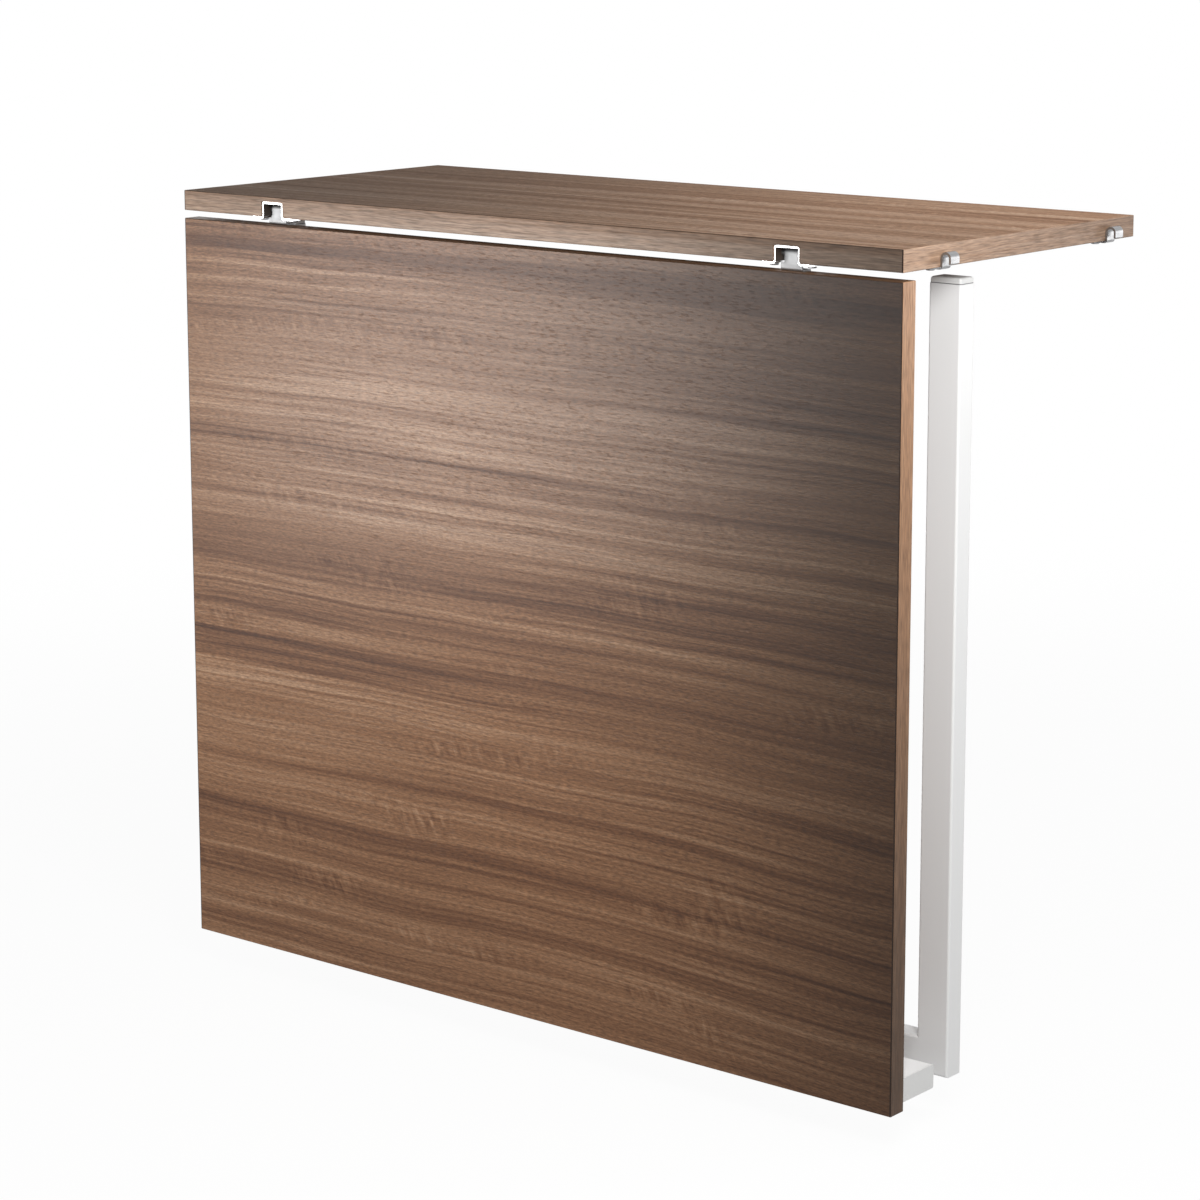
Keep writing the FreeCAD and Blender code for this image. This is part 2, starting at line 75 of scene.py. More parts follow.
class Graph:
    """Adds nodes to one node tree and joins them."""

    def __init__(self, tree: NodeTree) -> None:
        """Start on a tree.

        Args:
            tree: the node tree of a material, a group or a world.
        """
        self.tree = tree

    def add(self, kind: str, **settings: object) -> Node:
        """Add a node.

        Args:
            kind: Blender's name for the node type.
            settings: properties to set on it.

        Returns:
            The new node.
        """
        node = self.tree.nodes.new(kind)
        for name, value in settings.items():
            setattr(node, name, value)
        return node

    def feed(self, socket: NodeSocket, value: Feed) -> None:
        """Join a socket to another, or set its own value.

        Args:
            socket: the input.
            value: an output to join it to, or what it holds by itself.
        """
        if isinstance(value, NodeSocket):
            self.tree.links.new(value, socket)
        else:
            socket.default_value = value

    def fill(self, node: Node, values: Mapping[Union[str, int], Feed]) -> None:
        """Feed several inputs of a node, by their names or numbers."""
        for key, value in values.items():
            self.feed(node.inputs[key], value)

    def calc(
        self, operation: str, first: Feed, second: Feed = 0.0, clamp: bool = False
    ) -> NodeSocket:
        """A Math node's result.

        Args:
            operation: the name of the operation, such as MULTIPLY.
            first: its first value.
            second: its second value.
            clamp: whether the result stays between 0 and 1.

        Returns:
            The output socket.
        """
        node = self.add("ShaderNodeMath", operation=operation, use_clamp=clamp)
        self.fill(node, {0: first, 1: second})
        return node.outputs[0]

    def times(self, first: Feed, second: Feed) -> NodeSocket:
        """Two values multiplied."""
        return self.calc("MULTIPLY", first, second)

    def plus(self, first: Feed, second: Feed) -> NodeSocket:
        """Two values added."""
        return self.calc("ADD", first, second)

    def centred(self, value: Feed) -> NodeSocket:
        """A value less a half, so that a mask from 0 to 1 swings round 0."""
        return self.calc("SUBTRACT", value, HALF)

    def place(self) -> NodeSocket:
        """Object coordinates, which are metres in the frame that all pieces share."""
        return self.add("ShaderNodeTexCoord").outputs["Object"]

    def vector_calc(self, operation: str, vector: NodeSocket, other: Feed) -> NodeSocket:
        """A vector changed part by part by another.

        Args:
            operation: MULTIPLY or ADD.
            vector: the vector.
            other: the other vector.

        Returns:
            The output socket.
        """
        node = self.add("ShaderNodeVectorMath", operation=operation)
        self.fill(node, {0: vector, 1: other})
        return node.outputs[0]

    def stretched(self, vector: NodeSocket, scales: Triple) -> NodeSocket:
        """The vector with each of its parts scaled."""
        return self.vector_calc("MULTIPLY", vector, scales)

    def moved(self, vector: NodeSocket, offset: Feed) -> NodeSocket:
        """The vector with another added."""
        return self.vector_calc("ADD", vector, offset)

    def joined(self, x: Feed, y: Feed, z: Feed) -> NodeSocket:
        """A vector made of three values.

        Args:
            x: its first part.
            y: its second part.
            z: its third part.

        Returns:
            The vector.
        """
        node = self.add("ShaderNodeCombineXYZ")
        self.fill(node, {0: x, 1: y, 2: z})
        return node.outputs[0]

    def parted(self, vector: NodeSocket) -> tuple[NodeSocket, NodeSocket, NodeSocket]:
        """The parts of a vector.

        Args:
            vector: the vector.

        Returns:
            Its three parts in order.
        """
        node = self.add("ShaderNodeSeparateXYZ")
        self.feed(node.inputs[0], vector)
        return node.outputs[0], node.outputs[1], node.outputs[2]

    def ramp(self, value: NodeSocket, stops: Sequence[tuple[float, Colour]]) -> NodeSocket:
        """A colour picked along a ramp.

        Args:
            value: the place along the ramp, from 0 to 1.
            stops: (place, colour) pairs in order, two or more.

        Returns:
            The colour.
        """
        node = self.add("ShaderNodeValToRGB")
        elements = node.color_ramp.elements
        while len(elements) < len(stops):
            elements.new(HALF)
        for element, (place, colour) in zip(elements, stops):
            element.position = place
            element.color = colour
        self.feed(node.inputs[0], value)
        return node.outputs[0]

    def mix(
        self, factor: Feed, first: Feed, second: Feed, data: str = "FLOAT", kind: str = "MIX"
    ) -> NodeSocket:
        """Two numbers, vectors or colours mixed.

        Args:
            factor: how much of the second one is taken.
            first: the value at 0.
            second: the value at 1.
            data: what they are: FLOAT, VECTOR or RGBA.
            kind: how two colours are blended, such as MIX or MULTIPLY.

        Returns:
            The mixed value.
        """
        node = self.add("ShaderNodeMix", data_type=data, blend_type=kind)
        low, high, result = MIX_SOCKETS[data]
        self.fill(node, {0: factor, low: first, high: second})
        return node.outputs[result]

    def blend(self, factor: Feed, first: Feed, second: Feed) -> NodeSocket:
        """Two colours blended by a factor."""
        return self.mix(factor, first, second, "RGBA")

    def tinted(self, colour: Feed, tint: Feed) -> NodeSocket:
        """A colour multiplied by another."""
        return self.mix(1.0, colour, tint, "RGBA", "MULTIPLY")

    def shaded(self, colour: Feed, strength: NodeSocket) -> NodeSocket:
        """A colour multiplied by a number."""
        return self.tinted(colour, self.joined(strength, strength, strength))

    def group(self, tree: NodeTree, **values: Feed) -> Node:
        """Place a node group.

        Args:
            tree: the group.
            values: what each named input is fed.

        Returns:
            The group's node.
        """
        node = self.add("ShaderNodeGroup")
        node.node_tree = tree
        self.fill(node, values)
        return node


@dataclass(frozen=True)
class Layer:
    """Smooth noise, with how often it repeats in a metre along X and across it.

    The detail is the number of its finer layers, the roughness their strength, and the warp
    how much it is bent.
    """

    along: float
    across: float
    detail: float = 2.0
    roughness: float = 0.5
    warp: float = 0.0

    def build(self, graph: Graph, vector: NodeSocket) -> NodeSocket:
        """Add the noise.

        Args:
            graph: the graph it is added to.
            vector: the coordinates, in metres.

        Returns:
            The noise's value, from 0 to 1.
        """
        node = graph.add("ShaderNodeTexNoise", noise_dimensions="3D")
        graph.fill(node, {
            "Vector": graph.stretched(vector, (self.along, self.across, self.across)),
            "Scale": 1.0,
            "Detail": self.detail,
            "Roughness": self.roughness,
            "Distortion": self.warp,
        })
        return node.outputs[0]


@dataclass(frozen=True)
class Span:
    """A range of values and the range it is moved to, smoothly or in a straight line.

    A value outside the first range gets the nearer end of the second.
    """

    low: float
    high: float
    to_low: float = 0.0
    to_high: float = 1.0
    smooth: bool = True

    def build(self, graph: Graph, value: NodeSocket) -> NodeSocket:
        """Move a value from one range to the other.

        Args:
            graph: the graph.
            value: what is moved.

        Returns:
            The moved value.
        """
        kind = "SMOOTHSTEP" if self.smooth else "LINEAR"
        node = graph.add("ShaderNodeMapRange", interpolation_type=kind)
        graph.fill(node, {
            "Value": value,
            "From Min": self.low,
            "From Max": self.high,
            "To Min": self.to_low,
            "To Max": self.to_high,
        })
        return node.outputs[0]


@dataclass(frozen=True)
class Relief:
    """How deep a height of 1 is, in metres, and how much of the bump shows."""

    depth: float
    strength: float

    def build(self, graph: Graph, height: NodeSocket) -> NodeSocket:
        """Bump a surface.

        Args:
            graph: the graph.
            height: the height, about 0 to 1.

        Returns:
            The bumped normal.
        """
        node = graph.add("ShaderNodeBump")
        values = {"Height": height, "Distance": self.depth, "Strength": self.strength}
        graph.fill(node, values)
        return node.outputs[0]


@dataclass(frozen=True)
class GroupPlan:
    """The name of a node group and its sockets, as (name, kind) pairs."""

    name: str
    inputs: tuple[tuple[str, str], ...]
    outputs: tuple[tuple[str, str], ...]

    def open(self) -> tuple[Graph, Node, Node]:
        """Make the empty group.

        Returns:
            A graph on the group, and its input and output nodes.
        """
        tree = bpy.data.node_groups.new(self.name, "ShaderNodeTree")
        for name, kind in self.inputs:
            tree.interface.new_socket(name, in_out="INPUT", socket_type=kind)
        for name, kind in self.outputs:
            tree.interface.new_socket(name, in_out="OUTPUT", socket_type=kind)
        graph = Graph(tree)
        return graph, graph.add("NodeGroupInput"), graph.add("NodeGroupOutput")


@dataclass(frozen=True)
class GrowthRings:
    """Thin lines across the grain at a steady pitch, which show in patches.

    The pitch is in metres, and the wander is how many pitches a noise shifts them by.
    """

    pitch: float
    wander: float
    sharpness: float
    patch: Layer
    strength: Span

    def build(self, graph: Graph, flow: NodeSocket, noise: NodeSocket) -> NodeSocket:
        """Add the rings.

        Args:
            graph: the graph.
            flow: the bent grain coordinates.
            noise: what shifts the rings.

        Returns:
            The rings' mask.
        """
        across = graph.parted(flow)[1]
        steady = graph.calc("DIVIDE", across, self.pitch)
        phase = graph.plus(steady, graph.times(noise, self.wander))
        late = graph.calc("POWER", graph.calc("FRACT", phase), self.sharpness)
        return graph.times(late, self.strength.build(graph, self.patch.build(graph, flow)))


@dataclass(frozen=True)
class WalnutFigure:
    """The figure of straight-cut walnut: bands, growth lines, fibres, pores and mottle.

    The sweep and the waver bend the grain by their reach in metres. Bands, lines and streaks
    make up the tone by their shares.
    """

    sweep: Layer = Layer(1.3, 1.6, detail=1.0)
    sweep_reach: float = 0.06
    waver: Layer = Layer(5.0, 9.0)
    waver_reach: float = 0.009
    bands: Layer = Layer(0.4, 15.0)
    band_share: float = 0.29
    lines: Layer = Layer(0.8, 80.0, detail=3.0, roughness=0.55)
    line_share: float = 0.39
    streaks: Layer = Layer(4.0, 330.0, detail=3.0, roughness=0.6)
    streak_share: float = 0.32
    calm: Layer = Layer(1.6, 9.0, detail=1.0)
    contrast: Span = Span(0.36, 0.64, 2.4, 4.6)
    broad_rings: GrowthRings = GrowthRings(
        pitch=0.034, wander=5.0, sharpness=6.0,
        patch=Layer(2.2, 30.0, detail=1.0), strength=Span(0.45, 0.66),
    )
    narrow_rings: GrowthRings = GrowthRings(
        pitch=0.0068, wander=3.0, sharpness=5.0,
        patch=Layer(1.8, 16.0, detail=1.0), strength=Span(0.42, 0.62, 0.12, 0.85),
    )
    fibres: Layer = Layer(160.0, 800.0, roughness=0.6)
    pores: Layer = Layer(150.0, 820.0, detail=1.0, roughness=0.4)
    pore_strength: Span = Span(0.57, 0.71)
    mottle: Layer = Layer(130.0, 45.0, roughness=0.6, warp=0.4)
    mottle_slant: float = 0.45
    mottle_patch: Layer = Layer(6.0, 36.0, detail=1.0)
    mottle_strength: Span = Span(0.55, 0.72)

    def _flow(self, graph: Graph, grain: NodeSocket, sway: NodeSocket) -> NodeSocket:
        """Bend the grain.

        Args:
            graph: the group's graph.
            grain: coordinates along, across and through the grain.
            sway: how much the grain bends.

        Returns:
            The bent coordinates.
        """
        sweep = graph.times(graph.centred(self.sweep.build(graph, grain)), self.sweep_reach)
        waver = graph.times(graph.centred(self.waver.build(graph, grain)), self.waver_reach)
        bend = graph.times(graph.plus(sweep, waver), sway)
        return graph.moved(grain, graph.joined(0.0, bend, 0.0))

    def _tone(
        self, graph: Graph, flow: NodeSocket, bands: NodeSocket, lines: NodeSocket
    ) -> NodeSocket:
        """Add up the wood's lightness, with less contrast where the figure is calm.

        Args:
            graph: the group's graph.
            flow: the bent grain coordinates.
            bands: the noise of the bands.
            lines: the noise of the lines.

        Returns:
            The tone, from 0 to 1.
        """
        streaks = graph.times(self.streaks.build(graph, flow), self.streak_share)
        fine = graph.plus(graph.times(lines, self.line_share), streaks)
        tone = graph.plus(graph.times(bands, self.band_share), fine)
        contrast = self.contrast.build(graph, self.calm.build(graph, flow))
        swing = graph.times(graph.centred(tone), contrast)
        return graph.calc("ADD", swing, HALF, clamp=True)

    def _mottle(self, graph: Graph, grain: NodeSocket, flow: NodeSocket) -> NodeSocket:
        """Add slanting ripples that show in patches.

        Args:
            graph: the group's graph.
            grain: coordinates along, across and through the grain.
            flow: the bent grain coordinates.

        Returns:
            The ripples, round 0.
        """
        across = graph.parted(flow)[1]
        slant = graph.joined(graph.times(across, self.mottle_slant), 0.0, 0.0)
        ripple = self.mottle.build(graph, graph.moved(grain, slant))
        patch = self.mottle_strength.build(graph, self.mottle_patch.build(graph, flow))
        return graph.times(graph.centred(ripple), patch)

    def build(self) -> NodeTree:
        """Build the group.

        Returns:
            A group from grain coordinates to tone, ring, fibre, pore and mottle masks.
        """
        plan = GroupPlan(
            "walnut_figure",
            (("Grain", VECTOR), ("Sway", FLOAT)),
            tuple((name, FLOAT) for name in ("Tone", "Rings", "Fibre", "Pores", "Mottle")),
        )
        graph, source, result = plan.open()
        grain = source.outputs["Grain"]
        flow = self._flow(graph, grain, source.outputs["Sway"])
        bands = self.bands.build(graph, flow)
        lines = self.lines.build(graph, flow)
        broad = self.broad_rings.build(graph, flow, bands)
        narrow = self.narrow_rings.build(graph, flow, lines)
        graph.fill(result, {
            "Tone": self._tone(graph, flow, bands, lines),
            "Rings": graph.calc("MAXIMUM", broad, narrow),
            "Fibre": self.fibres.build(graph, flow),
            "Pores": self.pore_strength.build(graph, self.pores.build(graph, flow)),
            "Mottle": self._mottle(graph, grain, flow),
        })
        return graph.tree


@dataclass(frozen=True)
class OrangePeel:
    """The fine dimples and faint tint of a sprayed or moulded surface."""

    dimples: Layer = Layer(900.0, 900.0, detail=1.0)
    clouds: Layer = Layer(6.0, 6.0)

    def build(self) -> NodeTree:
        """Build the group.

        Returns:
            A group from a place to a height and a cloud mask.
        """
        plan = GroupPlan(
            "orange_peel", (("Place", VECTOR),), (("Height", FLOAT), ("Cloud", FLOAT))
        )
        graph, source, result = plan.open()
        place = source.outputs["Place"]
        graph.feed(result.inputs["Height"], self.dimples.build(graph, place))
        graph.feed(result.inputs["Cloud"], self.clouds.build(graph, place))
        return graph.tree


@dataclass(frozen=True)
class RollingMarks:
    """Fine lines that rolling leaves along strip metal, and the bloom of its plating."""

    lines: Layer = Layer(60.0, 4200.0)
    bloom: Layer = Layer(140.0, 140.0, detail=3.0)

    def build(self) -> NodeTree:
        """Build the group.

        Returns:
            A group from a place to line and bloom masks.
        """
        plan = GroupPlan(
            "rolling_marks", (("Place", VECTOR),), (("Lines", FLOAT), ("Bloom", FLOAT))
        )
        graph, source, result = plan.open()
        place = source.outputs["Place"]
        graph.feed(result.inputs["Lines"], self.lines.build(graph, place))
        graph.feed(result.inputs["Bloom"], self.bloom.build(graph, place))
        return graph.tree


class Groups:
    """The node groups that the finishes share, each built once."""

    def __init__(self) -> None:
        """Build every group."""
        self.walnut = WalnutFigure().build()
        self.peel = OrangePeel().build()
        self.rolling = RollingMarks().build()


def open_material(name: str, preview: Colour) -> tuple[Material, Graph, Node]:
    """Make a material with an empty Principled shader.

    Args:
        name: the finish's name.
        preview: the colour shown where nodes aren't read.

    Returns:
        The material, a graph on it and its shader node.
    """
    material = bpy.data.materials.new(name)
    material.use_nodes = True
    material.diffuse_color = preview
    material.node_tree.nodes.clear()
    graph = Graph(material.node_tree)
    shader = graph.add("ShaderNodeBsdfPrincipled")
    output = graph.add("ShaderNodeOutputMaterial")
    graph.feed(output.inputs["Surface"], shader.outputs[0])
    return material, graph, shader


# Finishes


@dataclass(frozen=True)
class Drift:
    """A smooth change across a board: painted light and shade on the wood, or its figure's
    strength.

    The drift runs between two places, as shares of the board's size from its low side.
    """

    low: float
    high: float
    start: float = 0.0
    end: float = 1.0

    def build(self, graph: Graph, share: NodeSocket) -> NodeSocket:
        """The value at a place: a factor of painted light and shade, or of the figure's
        strength.
        """
        return Span(self.start, self.end, self.low, self.high).build(graph, share)


@dataclass(frozen=True)
class BoardDrifts:
    """The painted light and shade of a board's veneer, along X and across it, of its lippings
    and ends.

    The slant turns the drift along X, the figure says how strong the figure is across it, and
    the tint multiplies every colour of the board.
    """

    veneer: Drift
    veneer_rise: Drift
    long_lipping: Drift
    ends: Drift
    figure: Drift
    slant: float = 0.0
    tint: Colour = WHITE


@dataclass(frozen=True)
class Spot:
    """Where a place is on a board.

    Its coordinates are along, across and through the board. The ends are a mask of the end
    lippings and the lipping one of all four. The shares run from 0 to 1 over the board.
    """

    along: NodeSocket
    across: NodeSocket
    through: NodeSocket
    ends: NodeSocket
    lipping: NodeSocket
    along_share: NodeSocket
    across_share: NodeSocket


@dataclass(frozen=True)
class WalnutVeneer:
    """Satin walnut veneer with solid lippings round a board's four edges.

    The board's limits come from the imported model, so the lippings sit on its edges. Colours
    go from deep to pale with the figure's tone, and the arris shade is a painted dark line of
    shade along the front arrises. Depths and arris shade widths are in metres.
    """

    name: str
    face: GrainFace
    low: Vector
    high: Vector
    grain_offset: Triple
    drifts: BoardDrifts
    roughness: float
    specular: float
    deep: Colour = opaque(0.056, 0.022, 0.010)
    dark: Colour = opaque(0.114, 0.050, 0.023)
    middle: Colour = opaque(0.188, 0.094, 0.047)
    light: Colour = opaque(0.262, 0.148, 0.084)
    pale: Colour = opaque(0.330, 0.204, 0.126)
    dark_stop: float = 0.26
    light_stop: float = 0.74
    ripple_share: float = 0.85
    ring_share: float = 0.52
    pore_share: float = 0.34
    fibre_shade: Span = Span(0.25, 0.75, 0.56, 1.44, smooth=False)
    tone_roughness: Span = Span(0.0, 1.0, 0.05, -0.04)
    pore_roughness: float = 0.10
    fibre_relief: float = 0.5
    relief: Relief = Relief(0.00004, 0.6)
    # Painted light: the half behind the show face is painted this much lighter.
    hidden_painted_light: float = 1.15
    # Painted shade along the front arrises: its colour, its widths and the top line's strength.
    arris_shade: Colour = opaque(0.020, 0.011, 0.007)
    end_arris_shade_width: float = 0.0012
    front_arris_shade_width: float = 0.0006
    front_arris_shade_share: float = 0.75
    lipping_depth: float = 0.00045
    lipping_roughness: float = 0.30
    lipping_contrast: float = 0.55
    lipping_darkest: float = 0.34
    lipping_sway: float = 0.12
    lipping_stretch: float = 0.34
    long_offset: Triple = (4.3, 8.1, 2.7)
    end_offset: Triple = (3.1, 5.7, 1.9)

    def _middle(self, axis: int) -> float:
        """The board's middle along an axis."""
        return (self.low[axis] + self.high[axis]) / 2

    def _skin(self, graph: Graph, value: NodeSocket, axis: int, depth: float) -> NodeSocket:
        """Mask the board's two outermost layers along one axis.

        Args:
            graph: the graph.
            value: the coordinate on that axis.
            axis: the axis.
            depth: how thick the layers are.

        Returns:
            The mask.
        """
        half = (self.high[axis] - self.low[axis]) / 2
        off_middle = graph.calc("SUBTRACT", value, self._middle(axis))
        return graph.calc("GREATER_THAN", graph.calc("ABSOLUTE", off_middle), half - depth)

    def _share(self, graph: Graph, value: NodeSocket, axis: int) -> NodeSocket:
        """How far a coordinate is from the board's low side to its high one."""
        return Span(self.low[axis], self.high[axis], smooth=False).build(graph, value)

    def _spot(self, graph: Graph, place: NodeSocket) -> Spot:
        """Find a place on the board.

        Args:
            graph: the graph.
            place: object coordinates.

        Returns:
            Where it is.
        """
        parts = graph.parted(place)
        along_axis, across_axis, through_axis = self.face.value
        along, across = parts[along_axis], parts[across_axis]
        ends = self._skin(graph, along, along_axis, self.lipping_depth)
        long_edges = self._skin(graph, across, across_axis, self.lipping_depth)
        return Spot(
            along=along,
            across=across,
            through=parts[through_axis],
            ends=ends,
            lipping=graph.calc("MAXIMUM", ends, long_edges),
            along_share=self._share(graph, along, along_axis),
            across_share=self._share(graph, across, across_axis),
        )

    def _hidden(self, graph: Graph, through: NodeSocket) -> NodeSocket:
        """Mask the half of the board behind its show face.

        Args:
            graph: the graph.
            through: the coordinate through the board.

        Returns:
            The mask.
        """
        behind = "LESS_THAN" if self.face is GrainFace.LEVEL else "GREATER_THAN"
        return graph.calc(behind, through, self._middle(self.face.value[-1]))

    def _painted_arris_shade(self, graph: Graph, place: NodeSocket) -> NodeSocket:
        """Mask the painted shade along the front arrises: down each end of the front and along
        its top.

        Args:
            graph: the graph.
            place: object coordinates.

        Returns:
            The mask.
        """
        x, y, z = graph.parted(place)
        front = graph.calc("LESS_THAN", y, self.low.y + self.lipping_depth)
        near_front = graph.calc("LESS_THAN", y, self.low.y + self.front_arris_shade_width)
        top = graph.calc("GREATER_THAN", z, self.high.z - self.front_arris_shade_width)
        upright = graph.times(self._skin(graph, x, 0, self.end_arris_shade_width), front)
        level = graph.times(graph.times(top, near_front), self.front_arris_shade_share)
        return graph.calc("MAXIMUM", upright, level)

    def _figure(self, graph: Graph, groups: Groups, spot: Spot) -> Node:
        """Place the walnut figure, along the veneer's grain or each lipping's own.

        Args:
            graph: the graph.
            groups: the shared node groups.
            spot: where it is.

        Returns:
            The figure's node.
        """
        straight = graph.joined(spot.along, spot.across, spot.through)
        stretch = (self.lipping_stretch, 1.0, 1.0)
        long_edge = graph.stretched(graph.joined(spot.along, spot.through, spot.across), stretch)
        end_edge = graph.stretched(graph.joined(spot.across, spot.through, spot.along), stretch)
        edges = graph.mix(
            spot.ends,
            graph.moved(long_edge, self.long_offset),
            graph.moved(end_edge, self.end_offset),
            "VECTOR",
        )
        veneer = graph.moved(straight, self.grain_offset)
        grain = graph.mix(spot.lipping, veneer, edges, "VECTOR")
        sway = graph.mix(spot.lipping, 1.0, self.lipping_sway)
        return graph.group(groups.walnut, Grain=grain, Sway=sway)

    def _wood(self, graph: Graph, figure: Node, spot: Spot) -> NodeSocket:
        """Colour the figure.

        Args:
            graph: the graph.
            figure: the figure's node.
            spot: where it is.

        Returns:
            The wood's colour, before the painted light and shade over the board.
        """
        masks = figure.outputs
        contrast = self.drifts.figure.build(graph, spot.across_share)
        rippled = graph.plus(masks["Tone"], graph.times(masks["Mottle"], self.ripple_share))
        tone = graph.plus(graph.times(graph.centred(rippled), contrast), HALF)
        lipping = graph.plus(graph.times(tone, self.lipping_contrast), self.lipping_darkest)
        wood = graph.ramp(graph.mix(spot.lipping, tone, lipping), (
            (0.0, self.deep),
            (self.dark_stop, self.dark),
            (HALF, self.middle),
            (self.light_stop, self.light),
            (1.0, self.pale),
        ))
        ring_share = graph.mix(spot.lipping, graph.times(contrast, self.ring_share), 0.0)
        wood = graph.blend(graph.times(masks["Rings"], ring_share), wood, self.dark)
        wood = graph.shaded(wood, self.fibre_shade.build(graph, masks["Fibre"]))
        pores = graph.times(masks["Pores"], graph.times(contrast, self.pore_share))
        return graph.blend(pores, wood, self.deep)

    def _painted_light_and_shade(self, graph: Graph, spot: Spot) -> NodeSocket:
        """Paint light and shade over the board, as a factor on the wood's colour.

        Args:
            graph: the graph.
            spot: where it is.

        Returns:
            The painted light and shade.
        """
        drifts = self.drifts
        along, rise = spot.along_share, spot.across_share
        # Painted light and shade: the veneer, lippings and ends turn darker or lighter by place
        # over the board.
        long_edges = drifts.long_lipping.build(graph, along)
        edges = graph.mix(spot.ends, long_edges, drifts.ends.build(graph, rise))
        turned = graph.plus(along, graph.times(graph.centred(rise), drifts.slant))
        shown = graph.times(
            drifts.veneer.build(graph, turned), drifts.veneer_rise.build(graph, rise)
        )
        # Painted light: the face behind the show face is painted lighter.
        hidden = self._hidden(graph, spot.through)
        veneer = graph.mix(hidden, shown, self.hidden_painted_light)
        return graph.mix(spot.lipping, veneer, edges)

    def _roughness(self, graph: Graph, figure: Node, spot: Spot) -> NodeSocket:
        """Make dark wood and pores rougher than pale wood.

        Args:
            graph: the graph.
            figure: the figure's node.
            spot: where it is.

        Returns:
            The roughness.
        """
        satin = graph.mix(spot.lipping, self.roughness, self.lipping_roughness)
        tone = self.tone_roughness.build(graph, figure.outputs["Tone"])
        pores = graph.times(figure.outputs["Pores"], self.pore_roughness)
        return graph.plus(satin, graph.plus(tone, pores))

    def build(self, groups: Groups) -> Material:
        """Build the material.

        Args:
            groups: the shared node groups.

        Returns:
            The finished material.
        """
        material, graph, shader = open_material(self.name, self.middle)
        place = graph.place()
        spot = self._spot(graph, place)
        figure = self._figure(graph, groups, spot)
        # The wood's colour times the painted light and shade over the board.
        wood = graph.shaded(self._wood(graph, figure, spot), self._painted_light_and_shade(graph, spot))
        wood = graph.tinted(wood, self.drifts.tint)
        fibres = graph.times(figure.outputs["Fibre"], self.fibre_relief)
        height = graph.calc("SUBTRACT", fibres, figure.outputs["Pores"])
        graph.fill(shader, {
            # Painted shade: a dark line along the front arrises.
            "Base Color": graph.blend(self._painted_arris_shade(graph, place), wood, self.arris_shade),
            "Roughness": self._roughness(graph, figure, spot),
            "Specular IOR Level": self.specular,
            "Normal": self.relief.build(graph, height),
        })
        return material


@dataclass(frozen=True)
class PowderCoat:
    """Satin white powder coat, with faint orange peel."""

    name: str = "white_powder_coat"
    colour: Colour = opaque(0.87, 0.87, 0.867)
    shade: Colour = opaque(0.84, 0.84, 0.836)
    roughness: Span = Span(0.2, 0.8, 0.38, 0.47)
    relief: Relief = Relief(0.00003, 0.5)

    def build(self, groups: Groups) -> Material:
        """Build the material.

        Args:
            groups: the shared node groups.

        Returns:
            The finished material.
        """
        material, graph, shader = open_material(self.name, self.colour)
        peel = graph.group(groups.peel, Place=graph.place())
        cloud = peel.outputs["Cloud"]
        graph.fill(shader, {
            "Base Color": graph.blend(cloud, self.colour, self.shade),
            "Roughness": self.roughness.build(graph, cloud),
            "Normal": self.relief.build(graph, peel.outputs["Height"]),
        })
        return material


@dataclass(frozen=True)
class MouldedPlastic:
    """Fine matt white plastic of the caps, with a painted shadow line where a cap meets its
    tube.

    The painted shadow line lies between two heights in metres. One with no height between them
    isn't there.
    """

    name: str
    seam_low: float = 0.0
    seam_high: float = 0.0
    seam_shadow: Colour = opaque(0.16, 0.16, 0.16)
    colour: Colour = opaque(0.80, 0.80, 0.79)
    shade: Colour = opaque(0.75, 0.75, 0.74)
    peel_scale: float = 2.2
    roughness: Span = Span(0.2, 0.8, 0.50, 0.60)
    relief: Relief = Relief(0.00004, 0.7)

    def build(self, groups: Groups) -> Material:
        """Build the material.

        Args:
            groups: the shared node groups.

        Returns:
            The finished material.
        """
        material, graph, shader = open_material(self.name, self.colour)
        place = graph.place()
        peel = graph.group(groups.peel, Place=graph.stretched(place, (self.peel_scale,) * 3))
        cloud = peel.outputs["Cloud"]
        white = graph.blend(cloud, self.colour, self.shade)
        # Painted shadow: a dark line between two heights, where a cap meets its tube.
        height = graph.parted(place)[2]
        above = graph.calc("GREATER_THAN", height, self.seam_low)
        below = graph.calc("LESS_THAN", height, self.seam_high)
        graph.fill(shader, {
            "Base Color": graph.blend(graph.times(above, below), white, self.seam_shadow),
            "Roughness": self.roughness.build(graph, cloud),
            "Normal": self.relief.build(graph, peel.outputs["Height"]),
        })
        return material


@dataclass(frozen=True)
class PlatedMetal:
    """Plated strip steel: bright or satin, by its values."""

    name: str
    colour: Colour
    shade: Colour
    roughness: Span
    relief: Relief

    def build(self, groups: Groups) -> Material:
        """Build the material.

        Args:
            groups: the shared node groups.

        Returns:
            The finished material.
        """
        material, graph, shader = open_material(self.name, self.colour)
        marks = graph.group(groups.rolling, Place=graph.place())
        bloom, lines = marks.outputs["Bloom"], marks.outputs["Lines"]
        worn = graph.plus(graph.times(lines, HALF), graph.times(bloom, HALF))
        graph.fill(shader, {
            "Base Color": graph.blend(bloom, self.colour, self.shade),
            "Metallic": 1.0,
            "Roughness": self.roughness.build(graph, worn),
            "Normal": self.relief.build(graph, lines),
        })
        return material


